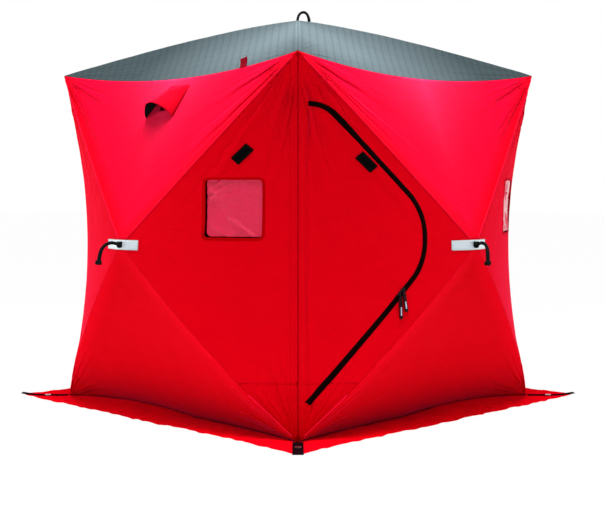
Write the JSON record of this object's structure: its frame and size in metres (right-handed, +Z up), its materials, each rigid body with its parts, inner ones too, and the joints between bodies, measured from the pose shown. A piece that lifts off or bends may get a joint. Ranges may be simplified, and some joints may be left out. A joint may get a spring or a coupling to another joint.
{
  "type": "pop-up ice fishing hut",
  "caption": "Square pop-up fabric ice fishing shelter with hub-tensioned walls and roof, a zipped door flap, windows, vents, pull ropes and a ground skirt.",
  "frame": {"origin": "on the ground under the middle of the roof", "axes": "+Z up, front wall with the door faces -Y"},
  "size_m": [2.6268, 2.6268, 2.1004],
  "materials": {
    "shell_fabric": "matte coated polyester",
    "roof_fabric": "matte coated ripstop",
    "skirt_fabric": "matte coated polyester",
    "window_vinyl": "clear flexible vinyl",
    "zip_tape": "woven tape with coil",
    "slider_plastic": "moulded",
    "patch_webbing": "woven",
    "label_fabric": "woven",
    "strap_webbing": "woven",
    "grommet_metal": "bright",
    "hub_plastic": "moulded nylon",
    "fibreglass": "solid rod",
    "reflective_tape": "retroreflective",
    "rope": "braided"
  },
  "bodies": {
    "shelter": {"front_wall": "shell_fabric", "front_window": "window_vinyl", "front_skirt": "skirt_fabric", "front_hub": "hub_plastic", "front_poles": "fibreglass", "front_pull_rope": "rope", "right_wall": "shell_fabric", "right_window": "window_vinyl", "right_skirt": "skirt_fabric", "right_hub": "hub_plastic", "right_poles": "fibreglass", "right_pull_rope": "rope", "back_wall": "shell_fabric", "back_window": "window_vinyl", "back_skirt": "skirt_fabric", "back_hub": "hub_plastic", "back_poles": "fibreglass", "back_pull_rope": "rope", "left_wall": "shell_fabric", "left_window": "window_vinyl", "left_skirt": "skirt_fabric", "left_hub": "hub_plastic", "left_poles": "fibreglass", "left_pull_rope": "rope", "roof": "roof_fabric", "roof_hub": "hub_plastic", "roof_poles": "fibreglass", "roof_pull_rope": "rope", "wall_zip": "zip_tape", "corner_straps": "strap_webbing", "grommets": "grommet_metal", "pole_feet": "hub_plastic", "top_joints": "hub_plastic", "reflective_strips": "reflective_tape", "ridge_patches": "patch_webbing", "roof_tab": "label_fabric", "left_vent": "shell_fabric", "right_vent": "shell_fabric"},
    "door": {"door_panel": "shell_fabric", "door_zip": "zip_tape", "zip_sliders": "slider_plastic", "door_patch": "patch_webbing"}
  },
  "joints": [
    {"name": "door_hinge", "type": "hinge", "parent": "shelter", "child": "door", "pos_m": [-0.82738, -0.88619, 0.188], "axis": [0.0008, -0.0029, -1], "range_deg": [0, 150]}
  ]
}
